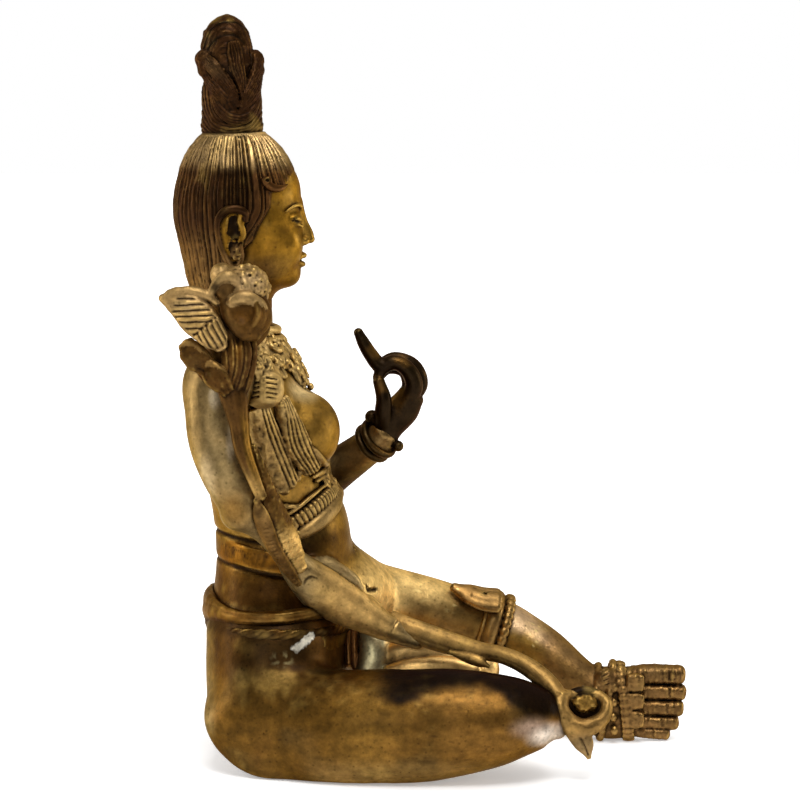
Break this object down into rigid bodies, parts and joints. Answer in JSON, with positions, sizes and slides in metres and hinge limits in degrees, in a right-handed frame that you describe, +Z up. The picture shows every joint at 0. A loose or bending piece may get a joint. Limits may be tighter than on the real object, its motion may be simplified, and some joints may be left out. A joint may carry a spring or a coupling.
{
  "type": "seated green tara figure",
  "caption": "Seated bronze goddess figure with tall chignon, one leg folded and one stretched forward, one hand raised and one in the lap with a lotus stem rising past the shoulder.",
  "frame": {"origin": "middle of the flat underside of the seat, below the trunk", "axes": "+Z up, +X the way the figure faces, +Y her left side"},
  "size_m": [0.1689, 0.128, 0.241],
  "materials": {
    "bronze": "aged golden bronze with dark brown patina in the recesses, worn edges"
  },
  "bodies": {
    "root": {"tara_figure": "bronze"}
  },
  "joints": []
}
